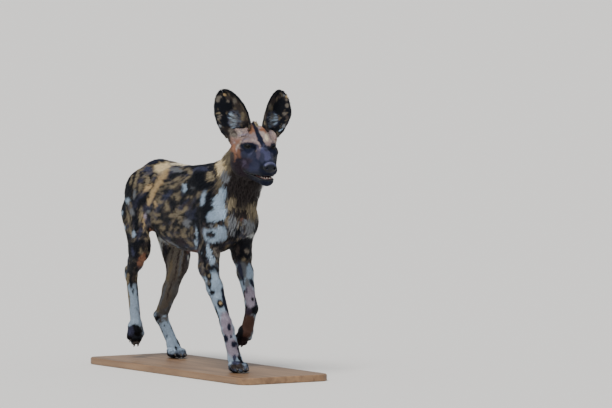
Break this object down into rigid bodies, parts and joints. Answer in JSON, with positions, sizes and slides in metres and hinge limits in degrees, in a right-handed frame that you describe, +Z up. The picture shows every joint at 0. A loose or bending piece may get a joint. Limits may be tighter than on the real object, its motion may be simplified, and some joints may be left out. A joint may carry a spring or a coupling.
{
  "type": "african wild dog, a still, life-size model of a trotting adult",
  "caption": "African wild dog at the trot, head turned a little to its right, ears up, tail hanging, standing still on a plain flat wooden base.",
  "frame": {"origin": "centre of the underside of the display base, on the floor", "axes": "+Z up; the dog faces -Y; its left side is +X"},
  "size_m": [0.33, 0.976, 0.9186],
  "materials": {
    "coat": "short harsh fur, mottled black, brown, tan and white",
    "face_coat": "very short fur, pinkish tan with a dark muzzle",
    "ear_coat": "thin ears, dark short fur with pale hairs in the cup",
    "tail_coat": "long bushy fur, tan and black with a white tip",
    "paw": "very short fur with dark claws and pads",
    "eye": "wet gloss, dark brown",
    "teeth": "wet, pale small teeth",
    "stand_wood": "satin varnish"
  },
  "bodies": {
    "root": {"stand_base": "stand_wood", "torso": "coat", "neck": "coat", "head": "face_coat", "ear_right": "ear_coat", "ear_left": "ear_coat", "eye_right": "eye", "eye_left": "eye", "teeth_lower": "teeth", "tail": "tail_coat", "foreleg_right_upper": "coat", "foreleg_right_lower": "coat", "foreleg_right_paw": "paw", "foreleg_left_upper": "coat", "foreleg_left_lower": "coat", "foreleg_left_paw": "paw", "hindleg_right_thigh": "coat", "hindleg_right_shank": "coat", "hindleg_right_hock": "coat", "hindleg_right_paw": "paw", "hindleg_left_thigh": "coat", "hindleg_left_shank": "coat", "hindleg_left_hock": "coat", "hindleg_left_paw": "paw"}
  },
  "joints": []
}
